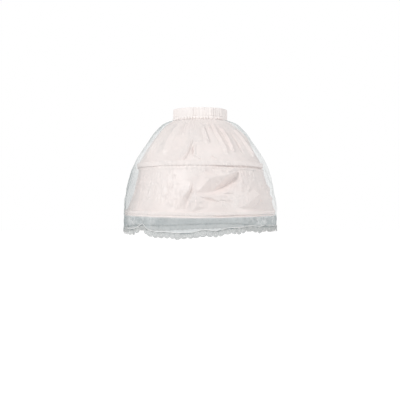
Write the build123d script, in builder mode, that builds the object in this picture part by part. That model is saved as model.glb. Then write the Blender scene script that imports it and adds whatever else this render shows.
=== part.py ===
"""Two-hoop petticoat, in millimetres.

A short white underskirt that holds a dress out on two hoops. A gathered waistband carries
a two-tier satin lining, whose seam and hem are fabric channels with a flat steel bone in
each, and an outer skirt of net with a lace edging. The origin is the centre of the waist
opening, level with the waistband's top; +Z is up and the front faces -Y.
"""
from build123d import *
from math import cos, radians, sin, tau
import os

os.makedirs("parts", exist_ok=True)

# ---- driving dimensions ----
waist_half_width = 107.0        # waistband, outside, side to side
waist_half_depth = 83.0         # waistband, outside, front to back
band_height = 40.0
band_thickness = 5.0            # the casing with the elastic in it
band_wall = 1.2                 # one layer of gathered satin
band_edge_radius = 1.6          # the fold along the waistband's two edges

elastic_height = 32.0
elastic_thickness = 1.6

upper_hoop_drop = 226.0         # waistband's top to the middle of the hoop
upper_hoop_radius = 247.0       # to the middle of the bone
lower_hoop_drop = 409.0
lower_hoop_radius = 296.0

bone_height = 10.0              # flat boning stands on its edge in the channel
bone_thickness = 1.6
bone_end_gap = 2.0              # between the two ends of one hoop
joiner_length = 36.0            # along the hoop
joiner_wall = 0.6
joiner_fit = 0.15               # joiner to bone, all round
channel_wall = 1.3              # gathered satin and its turned-in edges
channel_height = 17.0
channel_corner = 1.2            # cut off each corner of its section

lining_thickness = 1.2
lining_fullness = 1.6           # how soon the upper tier swells out below the waist
lining_hollow = 1.15            # how much the lower tier draws in between the hoops

net_thickness = 1.0
net_top_drop = 32.0             # the net's gathers stand up beside the waistband
net_puff = 18.0                 # how far the net stands out from the upper hoop
net_ease = 3.5                  # how far it stands out from the lower hoop
net_dome = 1.5                  # how soon the net swells out below the waist
net_swell = 1.7                 # how round it is between the hoops
net_hem_drop = 480.0
net_hem_tuck = 3.0              # the hem hangs this much inside the lower hoop's line

lace_height = 25.0              # with its scallops
lace_thickness = 1.2
lace_overlap = 6.0              # lace over the net's hem
scallop_count = 84
scallop_depth = 6.0

seam_gap = 0.3                  # clearance between one soft piece and the next
joiner_clearance = 0.3          # joiner to the inside of its channel
stations = 7                    # sections in each lofted tier

# ---- sizes that follow ----
cavity_thickness = bone_thickness + 2 * (joiner_fit + joiner_wall + joiner_clearance)
cavity_height = bone_height + 2 * (joiner_fit + joiner_wall + joiner_clearance)
channel_thickness = cavity_thickness + 2 * channel_wall
net_upper_radius = upper_hoop_radius + channel_thickness / 2 + net_puff
net_lower_radius = lower_hoop_radius + channel_thickness / 2 + net_ease
net_hem_radius = net_lower_radius - net_hem_tuck


def blend(start, end, share):
    """The value a share of the way from start to end."""
    return start + (end - start) * share


def rounded(power):
    """A profile that leaves its start quickly and arrives upright."""
    return lambda f: 1 - (1 - f) ** power


def hollow(power):
    """A profile that leaves its start upright and arrives leaning out."""
    return lambda f: f ** power


def rings(top, bottom, shape):
    """Ovals (drop, half width, half depth) from the top one to the bottom one."""
    shares = [i / (stations - 1) for i in range(stations)]
    return [
        (blend(top[0], bottom[0], f), blend(top[1], bottom[1], shape(f)), blend(top[2], bottom[2], shape(f)))
        for f in shares
    ]


def loft_rings(ovals, inset, mode):
    """Loft through the ovals, each drawn in by the inset, into the part being built."""
    faces = []
    for drop, half_width, half_depth in ovals:
        with BuildSketch(Plane.XY.offset(-drop), mode=Mode.PRIVATE) as section:
            Ellipse(half_width - inset, half_depth - inset)
        faces.append(section.sketch)
    loft(faces, mode=mode)


def radial_plane(angle):
    """The upright plane through +Z at this angle from +X; its x runs outwards."""
    return Plane(
        origin=(0, 0, 0),
        x_dir=(cos(radians(angle)), sin(radians(angle)), 0),
        z_dir=(sin(radians(angle)), -cos(radians(angle)), 0),
    )


# ---- waistband ----
with BuildPart() as waistband_casing:
    with BuildSketch(Plane.XY.offset(-band_height)):
        Ellipse(waist_half_width, waist_half_depth)
        Ellipse(waist_half_width - band_thickness, waist_half_depth - band_thickness, mode=Mode.SUBTRACT)
    extrude(amount=band_height)
    fillet(waistband_casing.edges(), radius=band_edge_radius)
    with BuildSketch(Plane.XY.offset(-(band_height - elastic_height) / 2 + seam_gap)):
        Ellipse(waist_half_width - band_wall, waist_half_depth - band_wall)
        inner_face = band_thickness - band_wall
        Ellipse(waist_half_width - inner_face, waist_half_depth - inner_face, mode=Mode.SUBTRACT)
    extrude(amount=-(elastic_height + 2 * seam_gap), mode=Mode.SUBTRACT)

with BuildPart() as waist_elastic:
    with BuildSketch(Plane.XY.offset(-(band_height - elastic_height) / 2)):
        outside = (band_thickness - elastic_thickness) / 2
        inside = (band_thickness + elastic_thickness) / 2
        Ellipse(waist_half_width - outside, waist_half_depth - outside)
        Ellipse(waist_half_width - inside, waist_half_depth - inside, mode=Mode.SUBTRACT)
    extrude(amount=-elastic_height)


# ---- lining ----
def tier(stretches, thickness):
    """A thin skirt of cloth, one loft for each stretch of ovals, which give its outside."""
    with BuildPart() as skirt:
        for ovals in stretches:
            loft_rings(ovals, 0, Mode.ADD)
        for ovals in stretches:
            loft_rings(ovals, thickness, Mode.SUBTRACT)
    return skirt


cloth_middle = lining_thickness / 2
lining_waist_ring = (
    band_height + seam_gap,
    waist_half_width - band_thickness / 2 + cloth_middle,
    waist_half_depth - band_thickness / 2 + cloth_middle,
)


def lining_ring(drop, hoop_radius):
    """The lining's outside where it meets a hoop's channel."""
    return (drop, hoop_radius + cloth_middle, hoop_radius + cloth_middle)


above_upper_hoop = upper_hoop_drop - channel_height / 2 - seam_gap
below_upper_hoop = upper_hoop_drop + channel_height / 2 + seam_gap
above_lower_hoop = lower_hoop_drop - channel_height / 2 - seam_gap
lining_upper_tier = tier(
    [rings(lining_waist_ring, lining_ring(above_upper_hoop, upper_hoop_radius), rounded(lining_fullness))],
    lining_thickness,
)
lining_lower_tier = tier(
    [
        rings(
            lining_ring(below_upper_hoop, upper_hoop_radius),
            lining_ring(above_lower_hoop, lower_hoop_radius),
            hollow(lining_hollow),
        )
    ],
    lining_thickness,
)


# ---- hoops: a fabric channel, the bone in it, and the sleeve over the bone's ends ----
def hoop_channel(radius, drop):
    """The fabric tube round one hoop."""
    with BuildPart() as channel:
        with BuildSketch(Plane.XZ) as section:
            with Locations((radius, -drop)):
                Rectangle(channel_thickness, channel_height)
                chamfer(section.vertices(), channel_corner)
                Rectangle(cavity_thickness, cavity_height, mode=Mode.SUBTRACT)
        revolve(axis=Axis.Z)
    return channel


def hoop_bone(radius, drop):
    """A flat steel strip bent to a ring, open by a small gap at the back."""
    gap_angle = 360 * bone_end_gap / (tau * radius)
    with BuildPart() as bone:
        with BuildSketch(radial_plane(90 + gap_angle / 2)):
            with Locations((radius, -drop)):
                RectangleRounded(bone_thickness, bone_height, bone_thickness * 0.3)
        revolve(axis=Axis.Z, revolution_arc=360 - gap_angle)
    return bone


def hoop_joiner(radius, drop):
    """The sleeve crimped over the bone's two ends, at the back."""
    joiner_angle = 360 * joiner_length / (tau * radius)
    inner = (bone_thickness + 2 * joiner_fit, bone_height + 2 * joiner_fit)
    outer = (inner[0] + 2 * joiner_wall, inner[1] + 2 * joiner_wall)
    with BuildPart() as joiner:
        with BuildSketch(radial_plane(90 - joiner_angle / 2)):
            with Locations((radius, -drop)):
                RectangleRounded(*outer, joiner_wall)
                Rectangle(*inner, mode=Mode.SUBTRACT)
        revolve(axis=Axis.Z, revolution_arc=joiner_angle)
    return joiner


hoops = {}
for name, radius, drop in (
    ("upper", upper_hoop_radius, upper_hoop_drop),
    ("lower", lower_hoop_radius, lower_hoop_drop),
):
    hoops[name + "_hoop_channel"] = hoop_channel(radius, drop)
    hoops[name + "_hoop_bone"] = hoop_bone(radius, drop)
    hoops[name + "_hoop_joiner"] = hoop_joiner(radius, drop)

# ---- net overskirt ----
net_dome_rings = rings(
    (
        net_top_drop,
        waist_half_width + seam_gap + net_thickness,
        waist_half_depth + seam_gap + net_thickness,
    ),
    (upper_hoop_drop, net_upper_radius, net_upper_radius),
    rounded(net_dome),
)
net_body_rings = rings(
    (upper_hoop_drop, net_upper_radius, net_upper_radius),
    (lower_hoop_drop, net_lower_radius, net_lower_radius),
    rounded(net_swell),
)
net_seam_ring = (net_hem_drop - lace_overlap, net_hem_radius, net_hem_radius)
net_hem_ring = (net_hem_drop, net_hem_radius, net_hem_radius)
net_overskirt = tier(
    [net_dome_rings, net_body_rings, [net_body_rings[-1], net_seam_ring], [net_seam_ring, net_hem_ring]],
    net_thickness,
)

# ---- lace edging: a band with a round lobe below each scallop ----
lace_radius = net_hem_radius + seam_gap + lace_thickness / 2
lace_top_drop = net_hem_drop - lace_overlap
lace_hem_drop = lace_top_drop + lace_height
scallop_pitch = tau * lace_radius / scallop_count
# the circle through a scallop's lowest point and the two notches beside it
lobe_radius = (scallop_pitch ** 2 / 4 + scallop_depth ** 2) / (2 * scallop_depth)

with BuildPart() as lace_edging:
    with BuildSketch(Plane.XZ):
        with Locations((lace_radius, -lace_top_drop - lace_height / 2)):
            Rectangle(lace_thickness, lace_height)
    revolve(axis=Axis.Z)
    for notch in range(scallop_count):
        angle = 360 * notch / scallop_count
        outwards = (cos(radians(angle)), sin(radians(angle)), 0)
        along = (-sin(radians(angle)), cos(radians(angle)), 0)
        notch_plane = Plane(origin=(0, 0, -lace_hem_drop), x_dir=along, z_dir=outwards)
        with BuildSketch(notch_plane.offset(lace_radius - 2 * lace_thickness)):
            with Locations((0, scallop_depth / 2 - lace_thickness / 2)):
                Rectangle(scallop_pitch, scallop_depth + lace_thickness)
            with Locations((-scallop_pitch / 2, lobe_radius), (scallop_pitch / 2, lobe_radius)):
                Circle(lobe_radius, mode=Mode.SUBTRACT)
    extrude(amount=4 * lace_thickness, mode=Mode.SUBTRACT)

for name, piece in {
    "waistband_casing": waistband_casing,
    "waist_elastic": waist_elastic,
    "lining_upper_tier": lining_upper_tier,
    "lining_lower_tier": lining_lower_tier,
    **hoops,
    "net_overskirt": net_overskirt,
    "lace_edging": lace_edging,
}.items():
    piece.part.label = name
    export_step(piece.part, f"parts/{name}.step")
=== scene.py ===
"""Two-hoop petticoat: satin waistband and lining, stitched hoop channels, net overskirt and lace hem.

Everything is worked out in metres in the frame's own axes: +Z up, the front faces -Y. A place
on the skirt is given by its turn, the angle from the front towards +X, and its drop, the
distance below the top of the waistband.
"""
import bpy
import math
import numpy as np
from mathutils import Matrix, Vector


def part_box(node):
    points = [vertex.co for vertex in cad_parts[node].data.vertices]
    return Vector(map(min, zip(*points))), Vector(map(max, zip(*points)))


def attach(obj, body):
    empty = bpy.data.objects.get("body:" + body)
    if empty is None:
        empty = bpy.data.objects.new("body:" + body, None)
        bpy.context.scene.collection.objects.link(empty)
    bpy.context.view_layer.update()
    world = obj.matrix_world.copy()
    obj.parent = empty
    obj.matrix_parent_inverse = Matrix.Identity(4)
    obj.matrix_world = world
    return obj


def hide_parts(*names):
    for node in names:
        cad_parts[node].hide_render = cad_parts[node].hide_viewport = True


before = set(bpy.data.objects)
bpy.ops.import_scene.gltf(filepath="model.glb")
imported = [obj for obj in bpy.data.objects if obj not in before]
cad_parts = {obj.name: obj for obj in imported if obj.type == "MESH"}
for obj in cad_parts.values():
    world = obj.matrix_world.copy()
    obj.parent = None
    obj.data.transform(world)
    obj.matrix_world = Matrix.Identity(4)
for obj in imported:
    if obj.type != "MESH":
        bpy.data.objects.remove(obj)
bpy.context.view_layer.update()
MM = 0.001
TAU = 2 * math.pi

# ---------------------------------------------------------------- camera
EYE_DISTANCE = 2.4
EYE_DROP = 0.360                # level with a line a little above the lower hoop
LENS, SENSOR = 54, 36
eye = bpy.data.cameras.new("eye")
eye.lens = LENS
eye.sensor_width = SENSOR
eye_object = bpy.data.objects.new("eye", eye)
bpy.context.scene.collection.objects.link(eye_object)
eye_object.location = (0, -EYE_DISTANCE, -EYE_DROP)
eye_object.rotation_euler = (math.radians(90), 0, 0)
bpy.context.scene.camera = eye_object


# ---------------------------------------------------------------- sizes from the frame
def measure(node):
    """Half width, half depth, top drop and bottom drop of a node."""
    low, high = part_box(node)
    return (high.x - low.x) / 2, (high.y - low.y) / 2, -high.z, -low.z


BAND_WIDE, BAND_DEEP, _, BAND_DROP = measure("waistband_casing")
UPPER_RIM, _, UPPER_TOP, UPPER_BOTTOM = measure("upper_hoop_channel")
LOWER_RIM, _, LOWER_TOP, LOWER_BOTTOM = measure("lower_hoop_channel")
UPPER_DROP = (UPPER_TOP + UPPER_BOTTOM) / 2
LOWER_DROP = (LOWER_TOP + LOWER_BOTTOM) / 2
LACE_RIM, _, LACE_TOP, LACE_HEM = measure("lace_edging")
_, _, _, NET_HEM = measure("net_overskirt")
CHANNEL_DEEP = 6.3 * MM         # a channel from its outside to its inside
CHANNEL_HALF = 8.5 * MM         # half a channel's height
SEAM = 6.6 * MM                 # from a channel's middle to a row of its stitching
LOW_SEAM = 4.0 * MM             # the lower channel's bottom row, above its selvedge
SELVEDGE = 3.5 * MM             # how far the lower channel's selvedge hangs below it
STITCH_PITCH = 4 * MM
SAG = 2.6 * MM                  # how much the lower channel dips at the front and back
FOLD_REACH = 0.27               # the radius at which degrees of a fold's place become metres
NET_REACH = 0.28                # the same for the net's crinkles
CREST = 0.9 * MM                # how blunt a fold's crest is
LEFT_SIDE = -88                 # the turn, in degrees, where the net is fullest and the lining straightest
DRAW_IN = 13 * MM               # how far the lining is drawn in there
NOTCH = -0.77                   # the turn, in radians, of the fold in the hem left of the front

FRILL = 48 * MM                 # the waistband's frill hangs this far below its top
BAND_THICK = 5 * MM
BAND_CLOTH = (1.05, 0.1)        # each piece of cloth as it was cut, width and length
UPPER_CLOTH = (1.56, 0.235)
LOWER_CLOTH = (1.9, 0.19)
NET_CLOTH = (1.88, 0.53)
NET_START = 46.5 * MM
SCALLOPS = 84
SCALLOP_STEPS = 18


# ---------------------------------------------------------------- tools for shapes
def turns(count):
    """Evenly spaced turns once round the skirt."""
    return np.arange(count) * (TAU / count)


def wrap(angle):
    """An angle brought between -pi and pi."""
    return (angle + math.pi) % TAU - math.pi


def smooth(low, high, value):
    """0 below low, 1 above high, and an S-curve between them."""
    t = np.clip((value - low) / (high - low), 0, 1)
    return t * t * (3 - 2 * t)


def through(points, value):
    """A smooth curve through (place, height) points: a cubic with the slopes of the chords."""
    xs, ys = np.array(points, float).T
    slopes = np.gradient(ys, xs)
    i = np.clip(np.searchsorted(xs, value) - 1, 0, len(xs) - 2)
    h = xs[i + 1] - xs[i]
    t = np.clip((value - xs[i]) / h, 0, 1)
    a, b, c, d = 2 * t**3 - 3 * t**2 + 1, t**3 - 2 * t**2 + t, -2 * t**3 + 3 * t**2, t**3 - t**2
    return a * ys[i] + b * h * slopes[i] + c * ys[i + 1] + d * h * slopes[i + 1]


def ripples(turn, counts, seed, roughness=0.8):
    """Irregular waves that close on themselves: cosines of whole-number counts with drawn sizes."""
    rng = np.random.default_rng(seed)
    total, weight = np.zeros_like(turn), 0
    for n in counts:
        size = (1 - roughness) + roughness * rng.random()
        total = total + size * np.cos(n * turn + rng.random() * TAU)
        weight += size * size
    return total / math.sqrt(weight)


def crumple(across, down, cell, seed, period):
    """Flat facets with sharp folds, as crisp cloth takes: drawn points on a jittered lattice, each with
    a drawn height, joined by triangles and read linearly. across closes after its period."""
    rng = np.random.default_rng(seed)
    n = max(3, round(period / cell))
    step = period / n
    rows = int(np.ceil((down.max() - down.min()) / cell)) + 3
    jitter = rng.random((rows, n, 2)) * 0.9 - 0.45
    height = rng.random((rows, n)) * 2 - 1
    flip = rng.random((rows, n)) < 0.5
    x = (across / step) % n
    y = (down - down.min()) / cell + 0.5
    bend = 0.84
    # the lattice is bent by smoothly read jitters, so that the facets differ in size and direction
    i, j = np.floor(x).astype(int), np.floor(y).astype(int)
    fx, fy = x - i, y - j
    sx, sy = fx * fx * (3 - 2 * fx), fy * fy * (3 - 2 * fy)

    def read(table, a, b):
        return table[np.clip(b, 0, rows - 1), a % n]

    shift = [
        (read(jitter[..., k], i, j) * (1 - sx) + read(jitter[..., k], i + 1, j) * sx) * (1 - sy)
        + (read(jitter[..., k], i, j + 1) * (1 - sx) + read(jitter[..., k], i + 1, j + 1) * sx) * sy
        for k in (0, 1)
    ]
    x, y = (x + bend * shift[0]) % n, y + bend * shift[1]
    i, j = np.floor(x).astype(int), np.floor(y).astype(int)
    fx, fy = x - i, y - j
    h00, h10 = read(height, i, j), read(height, i + 1, j)
    h01, h11 = read(height, i, j + 1), read(height, i + 1, j + 1)
    turned = read(flip, i, j)
    near = np.where(fx + fy < 1, h00 + fx * (h10 - h00) + fy * (h01 - h00),
                    h11 + (1 - fx) * (h01 - h11) + (1 - fy) * (h10 - h11))
    far = np.where(fx > fy, h00 + fx * (h10 - h00) + fy * (h11 - h10),
                   h00 + fy * (h01 - h00) + fx * (h11 - h01))
    return np.where(turned, far, near)


def soften(field):
    """Evens a grid of heights with its neighbours: a quarter, a half and a quarter, each way."""
    left, right = np.roll(field, 1, 1), np.roll(field, -1, 1)
    field = field / 2 + (left + right) / 4
    up, down = np.vstack([field[:1], field[:-1]]), np.vstack([field[1:], field[-1:]])
    return field / 2 + (up + down) / 4


def crease(turn, drop, line, widths, height, ends=0.3, power=1.5):
    """A ridge with a crisp crest, or a valley where the height is negative, along a line of
    (turn in degrees, drop in mm) places. It falls away over two widths in mm: to the left and to
    the right of a line that goes down, which is below and above one that goes to the right.
    It is one minus the distance over the width, raised to a power, and fades over its ends."""
    middle = math.radians(sum(place[0] for place in line) / len(line))
    x, y = wrap(turn - middle) * FOLD_REACH, drop
    corners = [((math.radians(t) - middle) * FOLD_REACH, d * MM) for t, d in line]
    lengths = [math.dist(p, q) for p, q in zip(corners, corners[1:])]
    nearest, result, run = np.full(np.broadcast(x, y).shape, np.inf), 0.0, 0.0
    for (ax, ay), (bx, by), length in zip(corners, corners[1:], lengths):
        dx, dy = bx - ax, by - ay
        t = np.clip(((x - ax) * dx + (y - ay) * dy) / length ** 2, 0, 1)
        away = np.hypot(x - ax - t * dx, y - ay - t * dy)
        width = np.where(dx * (y - ay) > dy * (x - ax), widths[0], widths[1]) * MM
        eased = np.sqrt(away ** 2 + CREST ** 2) - CREST
        share = (run + t * length) / sum(lengths)
        fade = smooth(0, ends, share) * smooth(0, ends, 1 - share)
        flank = np.clip(1 - eased / width, 0, 1) ** power * fade
        result = np.where(away < nearest, flank, result)
        nearest = np.minimum(nearest, away)
        run += length
    return height * MM * result


def pinch(turn, drop, lines):
    """Flat facets with sharp edges, as pinched cloth takes. lines are neighbouring rows of (turn in
    degrees, drop in mm, height in mm) places, with as many places each. Between them the height is
    linear over triangles, and it is 0 outside."""
    middle = math.radians(lines[0][0][0])
    x, y = wrap(turn - middle) * FOLD_REACH, drop
    total = np.zeros(np.broadcast(x, y).shape)
    rows = [
        [((math.radians(t) - middle) * FOLD_REACH, d * MM, h * MM) for t, d, h in line] for line in lines
    ]
    for upper, lower in zip(rows, rows[1:]):
        for a, b, c, d in zip(upper, upper[1:], lower, lower[1:]):
            for p, q, r in ((a, b, c), (b, d, c)):
                ux, uy, vx, vy = q[0] - p[0], q[1] - p[1], r[0] - p[0], r[1] - p[1]
                area = ux * vy - vx * uy
                m = ((x - p[0]) * vy - vx * (y - p[1])) / area
                n = (ux * (y - p[1]) - (x - p[0]) * uy) / area
                inside = (m >= 0) & (n >= 0) & (m + n <= 1)
                total = np.where(inside, p[2] + m * (q[2] - p[2]) + n * (r[2] - p[2]), total)
    return total


def drawn_creases(turn, drop, seed, count, turn_span, drop_span, length, lean, width, height):
    """Many short creases, drawn: each starts inside the spans (degrees and mm), runs for about the
    length in mm, leans from the upright by up to lean degrees, and is a ridge or a valley."""
    rng = np.random.default_rng(seed)
    total = np.zeros(np.broadcast(turn, drop).shape)
    for _ in range(count):
        start = (rng.uniform(*turn_span), rng.uniform(*drop_span))
        slant = math.radians(rng.uniform(-lean, lean))
        run = length * rng.uniform(0.6, 1.4)
        aside = math.degrees(run * math.sin(slant) * MM / FOLD_REACH)
        end = (start[0] + aside, start[1] + run * math.cos(slant))
        widths = (width * rng.uniform(0.5, 1.5), width * rng.uniform(0.5, 1.5))
        size = height * rng.uniform(0.5, 1.3) * (1 if rng.random() < 0.62 else -0.8)
        total += crease(turn, drop, [start, end], widths, size, 0.45)
    return total


def bell(value, middle, width):
    """1 at the middle, falling off on both sides: e to minus the square of the distance over the width."""
    return np.exp(-(((value - middle) / width) ** 2))


def puffs_of(phase, power):
    """Round puffs with sharp valleys between them: the size of a sine of half the phase, to a power."""
    return np.abs(np.sin(phase / 2)) ** power


def section(corners, rows, evening):
    """Evenly spaced (out, down) points, in metres, along a closed outline of corners in mm. Its corners
    are eased by averaging each point with its neighbours, evening times."""
    corners = np.array(corners + corners[:1], float) * MM
    run = np.concatenate([[0], np.cumsum(np.linalg.norm(np.diff(corners, axis=0), axis=1))])
    places = np.arange(rows) / rows * run[-1]
    points = np.stack([np.interp(places, run, corners[:, k]) for k in (0, 1)], -1)
    for _ in range(evening):
        points = points / 2 + (np.roll(points, 1, 0) + np.roll(points, -1, 0)) / 4
    return points[:, :1], points[:, 1:]


def surface(name, points, uv, tube=False):
    """A mesh through grids of points, (grids, rows, columns, 3), whose columns close round; the rows of
    a tube close too. uv is (rows, columns + 1, 2), with one row more for a tube."""
    points = points.reshape(-1, *points.shape[-3:])
    grids, rows, columns, _ = points.shape
    bands = rows if tube else rows - 1
    k, i, j = np.meshgrid(np.arange(grids), np.arange(bands), np.arange(columns), indexing="ij")
    first, below, beside = k * rows * columns, (i + 1) % rows, (j + 1) % columns
    faces = np.stack([first + i * columns + j, first + below * columns + j,
                      first + below * columns + beside, first + i * columns + beside], -1)
    mesh = bpy.data.meshes.new(name)
    mesh.vertices.add(grids * rows * columns)
    mesh.vertices.foreach_set("co", points.reshape(-1).astype(np.float32))
    count = grids * bands * columns
    mesh.loops.add(count * 4)
    mesh.polygons.add(count)
    mesh.loops.foreach_set("vertex_index", faces.reshape(-1).astype(np.int32))
    mesh.polygons.foreach_set("loop_start", np.arange(count, dtype=np.int32) * 4)
    mesh.polygons.foreach_set("use_smooth", np.ones(count, bool))
    corner = np.stack([uv[i, j], uv[i + 1, j], uv[i + 1, j + 1], uv[i, j + 1]], 3)
    mesh.uv_layers.new(name="cloth").data.foreach_set("uv", corner.reshape(-1).astype(np.float32))
    mesh.update(calc_edges=True)
    mesh.validate()
    piece = bpy.data.objects.new(name, mesh)
    bpy.context.scene.collection.objects.link(piece)
    return piece


def cloth_map(columns, width, downs):
    """The cloth's own map: width metres once round, and the distance down the cloth at each row."""
    across, down = np.meshgrid(np.arange(columns + 1) / columns * width, downs)
    return np.stack([across, down], -1)


def lengths_down(points):
    """How far down the cloth each row lies, averaged round the skirt."""
    steps = np.linalg.norm(np.diff(points, axis=0), axis=2).mean(1)
    return np.concatenate([[0], np.cumsum(steps)])


def round_points(turn, drop, wide, deep):
    """Points at half width times the turn's sine, half depth times minus its cosine, and minus the drop."""
    return np.stack([wide * np.sin(turn), -deep * np.cos(turn), -drop + 0 * turn], -1)


def finish_piece(piece, material, stands_for=()):
    """Gives a new piece its material and the nodes that it stands for. All ride the body."""
    piece.data.materials.append(material)
    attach(piece, "root")
    if stands_for:
        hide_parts(*stands_for)
    return piece


# ---------------------------------------------------------------- tools for materials
class Number:
    """A socket that can be added, taken away, multiplied and divided, with Math nodes behind it."""

    def __init__(self, recipe, socket):
        self.recipe, self.socket = recipe, socket

    def math(self, operation, *others):
        inputs = {0: self, **dict(enumerate(others, 1))}
        return self.recipe.node("ShaderNodeMath", {"operation": operation}, inputs)

    def __add__(self, other):
        return self.math("ADD", other)

    __radd__ = __add__

    def __mul__(self, other):
        return self.math("MULTIPLY", other)

    __rmul__ = __mul__

    def __sub__(self, other):
        return self.math("SUBTRACT", other)

    def __rsub__(self, other):
        return self.recipe.node("ShaderNodeMath", {"operation": "SUBTRACT"}, {0: other, 1: self})

    def __truediv__(self, other):
        return self.math("DIVIDE", other)


class Recipe:
    """A material being made: its nodes are added by one method, and its shader is set by another."""

    def __init__(self, name):
        self.material = bpy.data.materials.new(name)
        self.material.use_nodes = True
        self.tree = self.material.node_tree
        self.tree.nodes.clear()
        self.output = self.tree.nodes.new("ShaderNodeOutputMaterial")

    def put(self, socket, value):
        """Links a Number or a socket, or sets a plain value."""
        if isinstance(value, Number):
            value = value.socket
        if isinstance(value, bpy.types.NodeSocket):
            self.tree.links.new(value, socket)
        else:
            socket.default_value = value

    def node(self, kind, settings=None, inputs=None, output=0):
        """Adds a node: its settings first, then its inputs by name or number. Gives one of its outputs."""
        made = self.tree.nodes.new(kind)
        for key, value in (settings or {}).items():
            setattr(made, key, value)
        for key, value in (inputs or {}).items():
            self.put(made.inputs[key], value)
        return Number(self, made.outputs[output])

    def mix(self, share, first, second):
        """A colour the share of the way from the first to the second."""
        return self.node("ShaderNodeMix", {"data_type": "RGBA"}, {0: share, 6: first, 7: second}, 2)

    def spread(self, value, low, high, start=0.0, end=1.0):
        """The value's place between low and high, carried to between start and end, and held there."""
        return self.node("ShaderNodeMapRange", {"clamp": True},
                         {0: value, 1: low, 2: high, 3: start, 4: end})

    def cloth(self, output):
        """One coordinate of the piece's own cloth, in metres."""
        place = self.node("ShaderNodeUVMap", {"uv_map": "cloth"})
        return self.node("ShaderNodeSeparateXYZ", None, {0: place}, output)

    def place(self):
        """Where a point of the surface is, in metres."""
        return self.node("ShaderNodeTexCoord", None, None, "Object")

    def noise(self, scale, detail, rough=0.5):
        """Clouds with that many to the metre, and finer ones inside them."""
        inputs = {"Scale": scale, "Detail": detail, "Roughness": rough, "Vector": self.place()}
        return self.node("ShaderNodeTexNoise", None, inputs)

    def lines(self, along, upwards, detail):
        """Noise drawn out into level lines: few to the metre along them and many upwards."""
        stretched = self.node("ShaderNodeVectorMath", {"operation": "MULTIPLY"},
                              {0: self.place(), 1: (along, along, upwards)})
        inputs = {"Scale": 1.0, "Detail": detail, "Roughness": 0.5, "Vector": stretched}
        return self.node("ShaderNodeTexNoise", None, inputs)

    def bump(self, height, strength, distance):
        """A normal that leans with the height."""
        inputs = {"Strength": strength, "Distance": distance, "Height": height}
        return self.node("ShaderNodeBump", None, inputs)

    def shader(self, **inputs):
        """The surface itself, with its sockets set by name."""
        named = {key.replace("_", " "): value for key, value in inputs.items()}
        surface_shader = self.node("ShaderNodeBsdfPrincipled", None, named)
        self.put(self.output.inputs["Surface"], surface_shader)
        return self.material


def weave_of(recipe, threads):
    """Warp over weft: the product of two sines along the cloth, with that many threads to the metre."""
    u, v = recipe.cloth(0), recipe.cloth(1)
    warp = (u * (TAU * threads)).math("SINE")
    weft = (v * (TAU * threads)).math("SINE")
    return warp * weft


def satin(name, light, shade, roughness, pucker=0.0):
    """White satin: a fine weave and slow creases in its bump, and two near whites in clouds."""
    r = Recipe(name)
    clouds = r.spread(r.noise(7.0, 3.0), 0.3, 0.7)
    creases = r.noise(26.0, 3.0, rough=0.55)
    slubs = r.noise(180.0, 1.0)
    weave = weave_of(r, 1100)
    relief = weave * 0.06 + creases * 0.6 + slubs * 0.08
    colour = r.mix(clouds, (*shade, 1), (*light, 1))
    dull = r.spread(creases, 0.3, 0.7, roughness - 0.06, roughness + 0.08)
    return r.shader(Base_Color=colour, Roughness=dull, Sheen_Weight=0.25, Sheen_Roughness=0.35,
                    Specular_IOR_Level=0.5, Normal=r.bump(relief, 0.35 + pucker, 1.2 * MM))


# ---------------------------------------------------------------- finishes
BAND_SATIN = satin("waistband satin", (0.87, 0.82, 0.795), (0.83, 0.77, 0.745), 0.45)
LINING_SATIN = satin("lining satin", (0.915, 0.825, 0.79), (0.885, 0.78, 0.745), 0.42)
CHANNEL_SATIN = satin("channel satin", (0.96, 0.865, 0.83), (0.93, 0.83, 0.795), 0.44, pucker=0.1)


def net_finish():
    """Clear net: six-sided holes between fine threads, from cosines along three directions. Below the lower
    hoop it is painted a darker cool grey and made thicker, as painted shade of the dim inside seen through
    it. At the left side, where its folds crowd together, it is painted darker in the same way, as painted
    shade. Clouds make it thicker and thinner all over, and more so where the hem is gathered."""
    r = Recipe("soft net")
    u, v = r.cloth(0), r.cloth(1)
    cell = TAU / (1.9 * MM)
    first = (u * cell).math("COSINE")
    second = (u * (cell * 0.5) + v * (cell * 0.866)).math("COSINE")
    third = (u * (cell * 0.5) - v * (cell * 0.866)).math("COSINE")
    thread = r.spread(first + second + third, 0.9, -0.9)
    # below the lower hoop, where no lining backs the net: the mask of the painted shade there, which also
    # makes the net thicker
    bare = r.spread(v, LOWER_BOTTOM + 2 * MM, LOWER_BOTTOM + 9 * MM)
    cloud = r.spread(r.noise(16.0, 3.0), 0.35, 0.65, -1.0, 1.0)
    mottle = r.spread(r.noise(70.0, 2.0), 0.40, 0.60, -1.0, 1.0)
    # painted shade at the left side, below the upper hoop, where its folds crowd together: the net is
    # painted darker grey and made thicker there
    side = (u - NET_CLOTH[0] * (1 + LEFT_SIDE / 360)).math("ABSOLUTE")
    painted_left_shade = r.spread(side, 0.20, 0.08) * r.spread(v, UPPER_DROP - 40 * MM, UPPER_DROP + 40 * MM)
    # painted shade: below the lower hoop and at the left side
    shaded = bare.math("MAXIMUM", painted_left_shade * 0.8)
    # the hem is smooth at the front and back, and mottled where it is gathered towards the sides
    gathered = r.spread((u * (2 * TAU / NET_CLOTH[0])).math("COSINE"), 0.6, -0.1)
    alpha = thread * 0.22 + 0.07 + bare * 0.30 + cloud * (bare * gathered * 0.07 + 0.04)
    alpha = alpha + mottle * bare * (gathered * 0.12 + 0.01) + painted_left_shade * (1 - bare) * 0.16
    # the net's own cool grey, mixed towards a dark grey where the shade is painted
    colour = r.mix(shaded, (0.66, 0.71, 0.71, 1), (0.38, 0.425, 0.43, 1))
    return r.shader(Base_Color=colour, Roughness=0.7, Alpha=alpha, Specular_IOR_Level=0.2)


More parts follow.
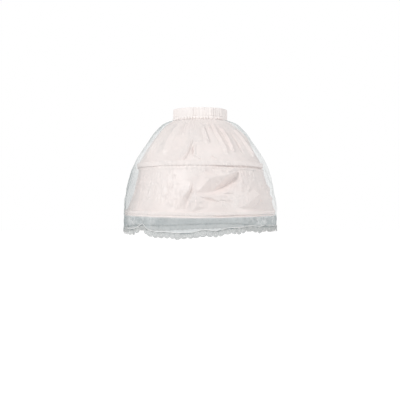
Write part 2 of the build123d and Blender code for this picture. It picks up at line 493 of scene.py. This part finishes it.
def lace_finish():
    """Lace: a net ground, a corded arc in each scallop with a round flower over it, and a header band."""
    r = Recipe("hem lace")
    u, v = r.cloth(0), r.cloth(1)
    scallop = TAU * LACE_RIM / SCALLOPS
    x, y = ((u / scallop).math("FRACT") - 0.5) * scallop, v - 13.5 * MM
    reach = (x * x + y * y).math("SQRT")
    petals = (y.math("ARCTAN2", x) * 6).math("COSINE")
    flower = r.spread((reach - (petals * (1.0 * MM) + 3.6 * MM)).math("ABSOLUTE"), 1.0 * MM, 0.4 * MM)
    heart = r.spread(reach, 1.9 * MM, 1.2 * MM)
    arc = r.spread((reach - 8.6 * MM).math("ABSOLUTE"), 1.1 * MM, 0.5 * MM)
    rail = r.spread((v - 1.2 * MM).math("ABSOLUTE"), 1.4 * MM, 0.7 * MM)
    cell = TAU / (2.0 * MM)
    ground = r.spread((u * cell).math("COSINE") + (v * cell).math("COSINE"), 0.7, -0.7, 0.68, 0.92)
    patches = r.spread(r.noise(60.0, 2.0), 0.42, 0.62, 0.55, 1.0)
    solid = flower.math("MAXIMUM", heart).math("MAXIMUM", arc) * patches
    solid = solid.math("MAXIMUM", rail)
    # painted shade: the ground is a darker grey at the front and a lighter, clearer grey at the back, so
    # that the back doesn't show through the front as a dark band
    behind = r.spread(r.node("ShaderNodeSeparateXYZ", None, {0: r.place()}, 1), 0.0, 0.15)
    painted_ground_shade = r.mix(behind, (0.345, 0.365, 0.36, 1), (0.5, 0.53, 0.53, 1))
    colour = r.mix(solid, painted_ground_shade, (0.84, 0.84, 0.82, 1))
    ground = ground * (1 - behind * 0.45)
    relief = solid + weave_of(r, 700) * 0.1
    return r.shader(Base_Color=colour, Roughness=0.75, Alpha=ground.math("MAXIMUM", solid * 0.92),
                    Specular_IOR_Level=0.2, Sheen_Weight=0.2, Normal=r.bump(relief, 0.6, 0.5 * MM))


def thread_finish():
    """Twisted white thread: two whites and fine strands."""
    r = Recipe("white thread")
    ply = r.noise(900.0, 1.0)
    colour = r.mix(ply, (0.88, 0.87, 0.85, 1), (0.96, 0.95, 0.94, 1))
    return r.shader(Base_Color=colour, Roughness=0.6, Sheen_Weight=0.2, Normal=r.bump(ply, 0.3, 0.2 * MM))


def bone_finish():
    """White-coated spring steel: a smooth hard coat with faint lines along it and rubbed spots."""
    r = Recipe("coated steel bone")
    lines = r.lines(4.0, 900.0, 2.0)
    rubs = r.spread(r.noise(55.0, 3.0), 0.60, 0.74)
    coat = r.mix(lines, (0.83, 0.84, 0.84, 1), (0.90, 0.90, 0.89, 1))
    colour = r.mix(rubs, coat, (0.60, 0.61, 0.62, 1))
    return r.shader(Base_Color=colour, Roughness=r.spread(lines, 0.3, 0.7, 0.26, 0.40), Metallic=rubs * 0.6,
                    Coat_Weight=0.3, Coat_Roughness=0.2, Normal=r.bump(lines, 0.25, 0.1 * MM))


def joiner_finish():
    """Brushed steel: fine lines along the sleeve and darker smudges."""
    r = Recipe("brushed steel joiner")
    brushed = r.lines(30.0, 2400.0, 3.0)
    smudges = r.spread(r.noise(90.0, 3.0), 0.4, 0.7)
    colour = r.mix(smudges, (0.66, 0.66, 0.67, 1), (0.50, 0.50, 0.52, 1))
    return r.shader(Base_Color=colour, Metallic=1.0, Roughness=r.spread(brushed, 0.3, 0.7, 0.24, 0.44),
                    Normal=r.bump(brushed, 0.3, 0.1 * MM))


def elastic_finish():
    """Ribbed elastic: level rows of knitted rib, and a soft off-white with slubs."""
    r = Recipe("ribbed elastic")
    upwards = r.node("ShaderNodeSeparateXYZ", None, {0: r.place()}, 2)
    level_rows = (upwards * (TAU / (2.2 * MM))).math("SINE")
    slubs = r.noise(320.0, 2.0)
    colour = r.mix(slubs, (0.82, 0.80, 0.76, 1), (0.92, 0.91, 0.88, 1))
    return r.shader(Base_Color=colour, Roughness=0.72, Sheen_Weight=0.2,
                    Normal=r.bump(level_rows * 0.5 + slubs * 0.5, 0.5, 0.6 * MM))


NET, LACE, THREAD = net_finish(), lace_finish(), thread_finish()
BONE, JOINER, ELASTIC = bone_finish(), joiner_finish(), elastic_finish()


# ---------------------------------------------------------------- outlines
def lining_outline(drop):
    """The upper tier's half width and half depth. They grow from the waist's to the hoop's as the share
    of the way down, to a power, so the tier leaves the waist quickly and reaches the hoop upright."""
    share = np.clip((drop - FRILL + 1 * MM) / (UPPER_DROP - FRILL), 0, 1) ** 0.68
    hoop = UPPER_RIM - CHANNEL_DEEP / 2
    waist_wide, waist_deep = BAND_WIDE - 3 * MM, BAND_DEEP - 3 * MM
    return waist_wide + (hoop - waist_wide) * share, waist_deep + (hoop - waist_deep) * share


NET_OUTLINE = [                 # drop and half width, in metres
    (0.0465, 0.113), (0.056, 0.138), (0.080, 0.168), (0.138, 0.212), (0.208, 0.257), (0.272, 0.280),
    (0.328, 0.293), (0.394, 0.3015), (0.440, 0.301), (0.500, 0.2985),
]


def net_outline(drop):
    """The net's half width, and its half depth, which the waist's oval draws in near the top."""
    wide = through(NET_OUTLINE, drop)
    round_share = smooth(BAND_DROP - 0.01, UPPER_DROP, drop) ** 0.7
    return wide, wide - (BAND_WIDE - BAND_DEEP) * (1 - round_share)


def right_side(turn, start=2, full=24):
    """0 on the left half and 1 on the right half, for what the cloth does more of on its right."""
    angle = np.degrees(wrap(turn))
    return smooth(start, full, angle) * smooth(178, 150, angle)


def level(turn):
    """No sag at any turn."""
    return 0 * turn


def sag(turn):
    """How far the lower channel hangs below its level: a cosine of twice the turn, so it is lower at
    the front and back and higher at the sides."""
    return SAG * np.cos(2 * turn)


# ---------------------------------------------------------------- waistband
def waistband():
    """The gathered casing: a rounded section carried round the waist's oval. Outside it is a row of
    pleats, round puffs with sharp valleys whose spacing wanders; it is drawn in along its stitching,
    and the frill below the stitching swells into beads."""
    columns, rows = 1440, 68
    turn = turns(columns)[None, :]
    frill = FRILL / MM
    corners = [(2.4, 0), (2.4, frill), (0, frill), (-1.2, 41), (-2.5, 40), (-2.5, 0)]
    out, down = section(corners, rows, 4)
    outside = smooth(-0.5 * MM, 1.5 * MM, out)
    wander = ripples(turn, (2, 3, 5, 8), 4)
    body = smooth(36 * MM, 31 * MM, down)
    stitched = bell(down, 34.5 * MM, 1.3 * MM) + 0.5 * bell(down, 3 * MM, 1.2 * MM)
    angle = np.degrees(wrap(turn))
    # it lies flatter left of the front, where it is pulled tight
    slack = 1 - 0.65 * smooth(-62, -52, angle) * smooth(-12, -20, angle)
    pleats = puffs_of(62 * turn + 3.5 * wander, 0.7) * (0.7 + 0.3 * ripples(turn, (7, 11, 17), 6)) * slack
    fine = puffs_of(170 * turn + 8 * wander, 0.8) * 0.5
    beads = puffs_of(50 * turn + 2.0 * ripples(turn, (4, 7, 11), 8), 0.55)
    ball = np.sqrt(np.clip(1 - ((down - 42 * MM) / (6.5 * MM)) ** 2, 0, 1))
    push = outside * (body * MM * (3.4 * pleats + 0.8 * fine - 1.9) - 1.6 * MM * stitched)
    push = push + outside * ball * MM * (5.4 * beads - 2.6)
    down = down - 1.2 * MM * (1 - beads) * smooth(40 * MM, 46 * MM, down)
    down = down + 0.5 * MM * pleats * smooth(3 * MM, 0, down)
    centre_wide, centre_deep = BAND_WIDE - BAND_THICK / 2, BAND_DEEP - BAND_THICK / 2
    along_x, along_y = np.sin(turn) / centre_wide, -np.cos(turn) / centre_deep
    size = np.hypot(along_x, along_y)
    x = centre_wide * np.sin(turn) + (out + push) * along_x / size
    y = -centre_deep * np.cos(turn) + (out + push) * along_y / size
    points = np.stack([x, y, -down + 0 * turn], -1)
    uv = cloth_map(columns, BAND_CLOTH[0], np.arange(rows + 1) / rows * BAND_CLOTH[1])
    return surface("waistband", points, uv, tube=True)


# ---------------------------------------------------------------- lining
UPPER_FOLDS = [
    # line, widths, height in mm: long folds from the waist seam, right of the front
    ([(1, 58), (5, 88), (9.5, 155)], (20, 7), 16.9),
    ([(12, 60), (14, 100)], (8, 5), 7.8),
    ([(19.5, 56), (20.5, 104), (24.5, 154), (27, 194)], (14, 6), 16.9),
    ([(28.5, 70), (32, 121), (33.5, 186)], (9, 12), 15.6),
    ([(44, 96), (45, 153), (46.5, 190)], (9, 9), -9.1),
    ([(55, 70), (60, 150), (62, 205)], (12, 14), 13.0),
    # the fork left of the front
    ([(-8, 125), (-11.5, 185), (-15, 220)], (16, 5), 14.3),
    ([(-4.8, 146), (-7, 172), (-6.5, 200)], (3, 5), -7.8),
    ([(-6, 152), (-4.5, 208)], (5, 11), 11.7),
    ([(-3.5, 198), (1, 212)], (6, 4), 6.5),
    ([(9.5, 200), (16, 220)], (7, 7), -6.5),
    # broad soft folds on the smooth left
    ([(-34, 60), (-38, 130), (-36, 200)], (42, 30), 10.4),
    ([(-22, 58), (-20, 120)], (14, 10), 6.5),
    ([(-62, 60), (-58, 150), (-60, 210)], (30, 20), 10.4),
]


def upper_lining():
    """The upper tier: its outline, with pleats that stand out of the waist seam and die away
    downwards, long folds, and short creases at the back and sides."""
    columns, rows = 1000, 100
    turn = turns(columns)[None, :]
    f = np.linspace(0, 1, rows)[:, None] ** 1.4
    start = BAND_DROP + 1 * MM
    drop = start + (UPPER_TOP + 5 * MM - start) * f + 0 * turn
    wide, deep = lining_outline(drop)
    wander = ripples(turn, (2, 5, 9, 14), 11)
    below_seam = (drop - BAND_DROP).clip(0)
    pleats = puffs_of(82 * turn + 3.5 * wander, 0.8) * np.exp(-below_seam / 0.020)
    gathers = puffs_of(44 * turn + 2.4 * wander + 1, 0.9) * np.exp(-below_seam / 0.055)
    size = 0.8 + 0.3 * ripples(turn, (3, 4, 9), 12)
    push = MM * size * (3.6 * pleats + 4.2 * gathers) - 3.0 * MM * np.exp(-below_seam / 0.03)
    push = push - 5 * MM * smooth(9 * MM, 0, below_seam)
    for line, widths, height in UPPER_FOLDS:
        push = push + crease(turn, drop, line, widths, height, ends=0.22, power=1.15)
    push = push + drawn_creases(turn, drop, 21, 34, (75, 285), (60, 120), 90, 12, 12, 5.0)
    push = push + drawn_creases(turn, drop, 22, 60, (62, 300), (90, 190), 36, 60, 9, 2.6)
    push = push + drawn_creases(turn, drop, 23, 26, (14, 62), (100, 200), 20, 70, 7, 1.6)
    push = push + drawn_creases(turn, drop, 24, 14, (-60, 10), (120, 200), 24, 60, 12, 1.0)
    push = soften(push) * smooth(0.0, 0.010, UPPER_TOP + 4 * MM - drop)
    points = round_points(turn, drop, wide + push, deep + push)
    return surface("lining_upper", points, cloth_map(columns, UPPER_CLOTH[0], lengths_down(points)))


LOWER_PINCHES = [               # groups of lines through (turn in degrees, drop in mm, height in mm)
    # the broad facet right of the front: its upper edge, its trough, and the way back up below it
    [[(-4.0, 320, 0), (1.0, 262, 0), (15.0, 246, 0), (28.0, 241, 0), (34.0, 246, 0)],
     [(-1.3, 329, 3), (8.3, 279, 10), (22.3, 269, 10), (32.1, 255, 4), (34.8, 255, 0)],
     [(-1.0, 332, 0), (9.5, 331, -19), (18, 315, -26), (30, 284, -20), (34.4, 276, 0)],
     [(-0.7, 338, 0), (11.5, 343, 2), (21.3, 329, 4), (33.6, 295, 3), (36.8, 289, 0)],
     [(-0.7, 345, 0), (12.2, 364, 0), (28, 355, 0), (40, 316, 0), (42.5, 301, 0)]],
    # the upright edge below it, lit on its left and shaded on its right
    [[(-6.4, 327, 0), (-6.6, 360, 0), (-6.0, 380, 0), (-5.6, 397, 0)],
     [(-2.8, 331, 5), (-3.1, 360, 11), (-3.0, 382, 9), (-3.0, 398, 0)],
     [(5.0, 346, -1), (6.6, 366, -6), (5.6, 382, -4), (4.8, 398, 0)],
     [(9.0, 350, 0), (11.6, 370, 0), (10.6, 384, 0), (9.4, 398, 0)]],
    # the kink left of the front
    [[(-10.0, 288, 0), (-12.7, 318, 0), (-17.3, 350, 0), (-19.0, 386, 0)],
     [(-7.0, 292, 2), (-8.9, 326, 4), (-13.3, 354, 4), (-15.0, 388, 2)],
     [(-5.9, 300, -3), (-6.2, 328, -10), (-9.6, 364, -12), (-11.0, 389, -7)],
     [(-5.0, 300, 0), (-4.7, 331, 2), (-7.9, 370, 3), (-9.3, 391, 0)],
     [(-3.6, 306, 0), (-3.0, 332, 0), (-5.2, 370, 0), (-6.6, 391, 0)]],
    # the slanting fold on the right
    [[(25.5, 382, 0), (35.2, 346, 0), (48.1, 316, 0)], [(30.5, 386, 4), (38.7, 365, 12), (51.1, 338, 11)],
     [(34.0, 392, 0), (43.5, 384, -6), (55.5, 362, -6)], [(38.0, 394, 0), (47.5, 391, 0), (58.5, 372, 0)]],
]
LOWER_FOLDS = [
    # line, widths, height in mm: under the upper hoop
    ([(3, 258), (14, 266)], (9, 9), -5.4),
    ([(16.9, 249), (21, 259)], (5, 6), 6.3),
    ([(21, 259), (30.4, 244)], (6, 5), 6.3),
    # thin creases near the lower hoop
    ([(9.4, 341), (18, 339), (27.7, 341)], (3, 5), -3.6),
    ([(-1.2, 351), (8, 360), (16.4, 373)], (3, 4), -5.76),
    ([(13.2, 363), (25.2, 367)], (3, 4), -4.68),
    ([(34.5, 250), (36, 300)], (5, 6), 5.4),
    # upright crinkles on the right
    ([(38, 250), (37, 276)], (4, 4), 4.5), ([(41, 249), (41.5, 280)], (4, 4), 5.04),
    ([(47, 248), (46, 272)], (5, 4), 3.96), ([(52, 250), (50, 290)], (4, 5), 5.04),
]


def lower_lining():
    """The lower tier: its radius grows from the upper hoop's to the lower hoop's as the share of the way
    down, to a power. Added to it are slow waves, the pinches and folds above, fine upright crinkles
    on the left, freer creases elsewhere, and the gathers and tuck below the upper channel."""
    columns, rows = 1000, 100
    turn = turns(columns)[None, :]
    f = np.linspace(0, 1, rows)[:, None]
    start, end = UPPER_BOTTOM - 4 * MM, LOWER_TOP + 4 * MM
    drop = start + (end - start + sag(turn)) * f
    top, bottom = UPPER_RIM - 5 * MM, LOWER_RIM - 4.5 * MM
    radius = top + (bottom - top) * f ** 1.1
    belly = np.sin(math.pi * f) ** 0.5
    push = 1.6 * MM * belly * ripples(turn, (4, 7, 9, 12), 31)
    # it hangs straighter on its left side
    push = push - DRAW_IN * belly * bell(wrap(turn - math.radians(LEFT_SIDE)), 0, 0.5)
    for lines in LOWER_PINCHES:
        push = push + pinch(turn, drop - sag(turn) * f, lines)
    for line, widths, height in LOWER_FOLDS:
        push = push + crease(turn, drop, line, widths, height, ends=0.2, power=1.08)
    # fine and upright from the left side to just left of the front; larger and freer elsewhere
    push = push + drawn_creases(turn, drop, 32, 120, (-100, -6), (238, 360), 40, 14, 6, 2.6)
    push = push + drawn_creases(turn, drop, 33, 40, (-100, -10), (250, 370), 26, 80, 9, 2.0)
    push = push + drawn_creases(turn, drop, 34, 60, (2, 62), (240, 380), 22, 80, 8, 1.8)
    push = push + drawn_creases(turn, drop, 35, 70, (62, 255), (240, 350), 60, 60, 16, 5.0)
    push = push + drawn_creases(turn, drop, 36, 90, (62, 255), (240, 370), 26, 80, 8, 2.4)
    # gathers and a tuck just below the upper channel, deeper on the right
    gathers = puffs_of(96 * turn + 4 * ripples(turn, (3, 5, 11), 37), 0.8)
    below_seam = (drop - UPPER_BOTTOM).clip(0)
    push = push + 2.6 * MM * gathers * np.exp(-below_seam / 0.010)
    tuck = bell(drop, UPPER_BOTTOM + 2.5 * MM, 2.6 * MM)
    roll = bell(drop, UPPER_BOTTOM + 9 * MM, 3.5 * MM)
    side = right_side(turn)
    push = push - MM * tuck * (0.5 + 6.5 * side) + MM * roll * (1.0 + 2.4 * side)
    push = soften(push) * smooth(0, 0.006, drop - start + 2 * MM)
    points = round_points(turn, drop, radius + push, radius + push)
    return surface("lining_lower", points, cloth_map(columns, LOWER_CLOTH[0], f[:, 0] * LOWER_CLOTH[1]))


# ---------------------------------------------------------------- hoop channels
def channel(name, rim, drop, seed, selvedge, seam, hang):
    """The sewn tube round a hoop: a rounded section carried round it, with small puckers between its two
    rows of stitching. Below it may be a narrow selvedge, parted from it by a groove, which is deepest on
    the right. hang gives how far it hangs below its level at each turn."""
    columns, rows = 1500, 64
    turn = turns(columns)[None, :]
    half, low, edge = CHANNEL_DEEP / 2 / MM, CHANNEL_HALF / MM, (CHANNEL_HALF + selvedge) / MM
    corners = [(half, -low), (half, edge), (half - 1.6, edge), (0.6, low), (-half, low), (-half, -low)]
    out, down = section(corners, rows, 3)
    outside = smooth(-0.5 * MM, 1.5 * MM, out)
    wander = ripples(turn, (2, 5, 9, 14), seed)
    puckers = puffs_of(130 * turn + 7 * wander, 0.8) - 0.6
    slow = ripples(turn, (6, 10, 15, 23), seed + 1)
    sewn = bell(down, -SEAM, 0.8 * MM) + bell(down, seam, 0.8 * MM)
    groove = bell(down, seam + 2.2 * MM, 2.0 * MM) * (0.5 + 0.7 * right_side(turn, 4, 16)) * (selvedge > 0)
    push = outside * MM * (0.9 * puckers + 0.5 * slow - 0.5 * sewn - 4.6 * groove)
    down = down + 0.5 * MM * puckers * smooth(6 * MM, 9 * MM, abs(down)) + 0.6 * MM * slow * outside
    radius = rim - CHANNEL_DEEP / 2 + out + push
    points = np.stack([radius * np.sin(turn), -radius * np.cos(turn), -drop - down - hang(turn)], -1)
    uv = cloth_map(columns, TAU * rim, np.arange(rows + 1) / rows * 0.05)
    return surface(name, points, uv, tube=True)


def stitches(name, place, count):
    """A row of stitches: each a small spindle along the line, whose half thickness is a sine of the way
    along it. place gives the line's points from turns."""
    rows, sides = 5, 5
    length, thickness = 2.8 * MM, 0.7 * MM
    turn = turns(count)
    centre = place(turn)[:, None, None, :]
    ahead = place(turn + 0.001)[:, None, None, :] - centre
    ahead = ahead / np.linalg.norm(ahead, axis=-1, keepdims=True)
    outwards = np.stack([np.sin(turn), -np.cos(turn), 0 * turn], -1)[:, None, None, :]
    up = np.cross(outwards, ahead)
    t = np.linspace(0.04, 0.96, rows)[None, :, None, None]
    a = (np.arange(sides) * (TAU / sides))[None, None, :, None]
    spread = thickness / 2 * np.sin(math.pi * t)
    points = centre + ahead * (t - 0.5) * length + spread * (np.cos(a) * outwards + np.sin(a) * up)
    uv = cloth_map(sides, thickness * 3, np.linspace(0, length, rows))
    return surface(name, points, uv)


def seam_line(rim, drop, hang):
    """A line of stitching round a channel, sunk a little into it, as a function of the turn."""
    sunk = rim - 0.3 * MM
    return lambda turn: round_points(turn, drop + hang(turn), sunk, sunk)


# ---------------------------------------------------------------- net overskirt and its lace
HEM_LIFT = [                    # turn in degrees, and how far the hem is above its lowest place, in mm
    (-180, 8), (-150, 3), (-120, 10), (-88, 8), (-66, 8), (-54, 10), (-49, 18), (-45, 27), (-41, 20),
    (-37, 8), (-31, 2), (-24, 2), (-12, 0), (-4, 3), (2, 11), (12, 7), (19, 16), (30, 18), (37, 23),
    (46, 18), (53, 21), (68, 18), (88, 15), (120, 4), (150, 12), (180, 8),
]


def hem_rise(turn):
    """How high the hem hangs above its lowest place."""
    return through(HEM_LIFT, np.degrees(wrap(turn))) * MM


def hem_folds(turn, drop):
    """Soft upright folds that grow below the lower hoop: wandering cosines, and one sharp fold left
    of the front."""
    grow = smooth(LOWER_DROP - 0.03, LACE_HEM, drop)
    waves = 0.6 * np.cos(17 * turn + 1.8 * ripples(turn, (2, 3, 5), 42))
    waves = waves + 0.4 * ripples(turn, (7, 11, 23, 29), 43)
    kink = bell(wrap(turn - NOTCH), 0, 0.05) - bell(wrap(turn - NOTCH - 0.07), 0, 0.04)
    flutter = ripples(turn, (31, 38, 47), 49) * smooth(LOWER_BOTTOM + 0.02, LACE_HEM, drop)
    return grow * MM * (7.5 * waves - 5.0 * kink) + 2.6 * MM * flutter


def net_radius(turn, drop):
    """The net's half width and half depth with its gathers, puffs, crinkles and folds."""
    wide, deep = net_outline(drop)
    below_seam = (drop - NET_START).clip(0)
    below_hoop = drop - LOWER_DROP
    gathers = puffs_of(92 * turn + 6 * ripples(turn, (2, 5, 9), 44), 0.9) - 0.4
    gathers = gathers * np.exp(-below_seam / 0.035)
    slow = ripples(turn, (9, 14, 19, 27), 45) * smooth(0.05, 0.12, drop) * smooth(0.06, -0.02, below_hoop)
    across, period = turn * NET_REACH, TAU * NET_REACH
    crinkle = crumple(across, drop, 0.020, 46, period) + 0.5 * crumple(across, drop, 0.011, 47, period)
    crinkle = crinkle * smooth(UPPER_DROP - 0.03, UPPER_DROP + 0.02, drop)
    crinkle = crinkle * (1 - 0.5 * smooth(0.0, 0.03, below_hoop))
    pleats = puffs_of(112 * turn + 8 * ripples(turn, (3, 7, 12), 48), 0.9) - 0.5
    fullness = 3.4 - 2.2 * smooth(0.07, UPPER_DROP, drop) - 0.6 * smooth(UPPER_DROP, LOWER_DROP, drop)
    push = MM * (4.0 * gathers + fullness * pleats + 1.8 * slow + 4.2 * crinkle) + hem_folds(turn, drop)
    # it lies on the lower channel, never inside it
    near_hoop = smooth(17 * MM, 10 * MM, np.abs(below_hoop - 2 * MM - sag(turn)))
    least = (LOWER_RIM + 1.6 * MM - wide) * near_hoop - 9 * MM * (1 - near_hoop)
    push = np.maximum(push, least)
    return wide + push, deep + push


def overskirt():
    """One sheet of net from the waist seam to the hem."""
    columns, rows = 1100, 90
    turn = turns(columns)[None, :]
    f = np.linspace(0, 1, rows)[:, None]
    f = 0.5 * f ** 1.6 + 0.5 * f
    drop = NET_START + (NET_HEM - hem_rise(turn) - NET_START) * f
    wide, deep = net_radius(turn, drop)
    points = round_points(turn, drop, wide, deep)
    uv = cloth_map(columns, NET_CLOTH[0], f[:, 0])
    below_top = drop - sag(turn)
    uv[..., 1] = np.hstack([below_top, below_top[:, :1]])
    return surface("overskirt_net", points, uv)


def lace_line(turn, down):
    """Points of the lace at a distance below its top edge."""
    drop = LACE_TOP - hem_rise(turn) + down
    wide, deep = net_radius(turn, drop)
    return round_points(turn, drop, wide + 0.7 * MM, deep + 0.7 * MM)


def scallop_reach(turn):
    """How far down the lace's edge is: each scallop is an arch, the root of one minus a square."""
    s = (turn * SCALLOPS / TAU) % 1 * 2 - 1
    uneven = 0.9 * MM * ripples(turn, (17, 26, 41), 50)
    return 17.5 * MM + uneven + 7.5 * MM * np.sqrt(np.clip(1 - s * s, 0, 1))


def lace():
    """The lace strip, from its straight top edge to its scallops."""
    columns, rows = SCALLOPS * SCALLOP_STEPS, 14
    turn = turns(columns)[None, :]
    down = np.linspace(0, 1, rows)[:, None] * scallop_reach(turn)
    uv = cloth_map(columns, TAU * LACE_RIM, np.zeros(rows))
    uv[..., 1] = np.hstack([down, down[:, :1]])
    return surface("hem_lace", lace_line(turn, down), uv)


def cord(name, centre, thickness):
    """A round cord along a closed line of points: rings square to the line."""
    sides = 6
    ahead = np.roll(centre, -1, 0) - np.roll(centre, 1, 0)
    ahead /= np.linalg.norm(ahead, axis=1, keepdims=True)
    outwards = centre * np.array([1, 1, 0])
    outwards /= np.linalg.norm(outwards, axis=1, keepdims=True)
    up = np.cross(ahead, outwards)
    up /= np.linalg.norm(up, axis=1, keepdims=True)
    side = np.cross(up, ahead)
    a = (np.arange(sides) * (TAU / sides))[:, None, None]
    points = centre[None] + thickness / 2 * (np.cos(a) * side[None] - np.sin(a) * up[None])
    uv = cloth_map(len(centre), len(centre) * 0.002, np.arange(sides + 1) * 0.001)
    return surface(name, points, uv, tube=True)


# ---------------------------------------------------------------- dressing the frame
finish_piece(waistband(), BAND_SATIN, ["waistband_casing"])
upper_piece = finish_piece(upper_lining(), LINING_SATIN, ["lining_upper_tier"])
lower_piece = finish_piece(lower_lining(), LINING_SATIN, ["lining_lower_tier"])
upper_channel = channel("upper_channel", UPPER_RIM, UPPER_DROP, 61, 0.0, SEAM, level)
lower_channel = channel("lower_channel", LOWER_RIM, LOWER_DROP, 71, SELVEDGE, LOW_SEAM, sag)
finish_piece(upper_channel, CHANNEL_SATIN, ["upper_hoop_channel"])
finish_piece(lower_channel, CHANNEL_SATIN, ["lower_hoop_channel"])
net_piece = finish_piece(overskirt(), NET, ["net_overskirt"])
lace_piece = finish_piece(lace(), LACE, ["lace_edging"])
lace_turns = turns(SCALLOPS * SCALLOP_STEPS)
scallop_line = lace_line(lace_turns, scallop_reach(lace_turns))
header_line = lace_line(lace_turns, 0.8 * MM + 0 * lace_turns)
edge_cord = finish_piece(cord("scallop_cord", scallop_line, 2.0 * MM), THREAD)
top_cord = finish_piece(cord("lace_header_cord", header_line, 1.8 * MM), THREAD)
for label, rim, drop, hang in (
    ("upper_channel_top", UPPER_RIM, UPPER_DROP - SEAM, level),
    ("upper_channel_foot", UPPER_RIM, UPPER_DROP + SEAM, level),
    ("lower_channel_top", LOWER_RIM, LOWER_DROP - SEAM, sag),
    ("lower_channel_foot", LOWER_RIM, LOWER_DROP + LOW_SEAM, sag),
):
    row = stitches(label + "_stitches", seam_line(rim, drop, hang), round(TAU * rim / STITCH_PITCH))
    finish_piece(row, THREAD)

for node, finish in (
    ("upper_hoop_bone", BONE), ("lower_hoop_bone", BONE),
    ("upper_hoop_joiner", JOINER), ("lower_hoop_joiner", JOINER), ("waist_elastic", ELASTIC),
):
    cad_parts[node].data.materials.clear()
    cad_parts[node].data.materials.append(finish)


# ---------------------------------------------------------------- room and light
FLOOR_BELOW_HEM = 0.62


def room():
    """A pale floor, far below the skirt as under a dress form, and soft light from the front left."""
    world = bpy.data.worlds.new("studio")
    bpy.context.scene.world = world
    world.use_nodes = True
    tree = world.node_tree
    tree.nodes.clear()
    seen = tree.nodes.new("ShaderNodeBackground")
    seen.inputs["Color"].default_value = (1, 1, 1, 1)
    seen.inputs["Strength"].default_value = 1.0
    lit = tree.nodes.new("ShaderNodeBackground")
    lit.inputs["Color"].default_value = (0.97, 0.98, 1.0, 1)
    lit.inputs["Strength"].default_value = 0.50
    path = tree.nodes.new("ShaderNodeLightPath")
    mix = tree.nodes.new("ShaderNodeMixShader")
    out = tree.nodes.new("ShaderNodeOutputWorld")
    tree.links.new(path.outputs["Is Camera Ray"], mix.inputs[0])
    tree.links.new(lit.outputs[0], mix.inputs[1])
    tree.links.new(seen.outputs[0], mix.inputs[2])
    tree.links.new(mix.outputs[0], out.inputs["Surface"])

    floor_mesh = bpy.data.meshes.new("floor")
    half, ground = 12.0, -(LACE_HEM + FLOOR_BELOW_HEM)
    corners = [(x * half, y * half, ground) for x, y in ((-1, -1), (1, -1), (1, 1), (-1, 1))]
    floor_mesh.from_pydata(corners, [], [(0, 1, 2, 3)])
    floor = bpy.data.objects.new("floor", floor_mesh)
    bpy.context.scene.collection.objects.link(floor)
    r = Recipe("pale floor")
    seen_directly = r.node("ShaderNodeLightPath", None, None, "Is Camera Ray")
    pale = r.shader(Base_Color=(0.9, 0.9, 0.9, 1), Roughness=0.9,
                    Emission_Color=(1, 1, 1, 1), Emission_Strength=seen_directly * 0.75)
    floor_mesh.materials.append(pale)

    for name, place, size, power in (
        ("key", (-1.75, -2.0, 1.35), 0.7, 51.0),
        ("fill", (2.6, -1.2, 0.8), 1.2, 34.0),
    ):
        lamp = bpy.data.lights.new(name, "AREA")
        lamp.shape, lamp.size, lamp.energy = "DISK", size, power
        holder = bpy.data.objects.new(name, lamp)
        bpy.context.scene.collection.objects.link(holder)
        holder.location = place
        aim = Vector((0, 0, -0.25)) - Vector(place)
        holder.rotation_euler = aim.to_track_quat("-Z", "Y").to_euler()
    bpy.context.scene.view_settings.view_transform = "Standard"
    bpy.context.scene.view_settings.look = "None"


room()
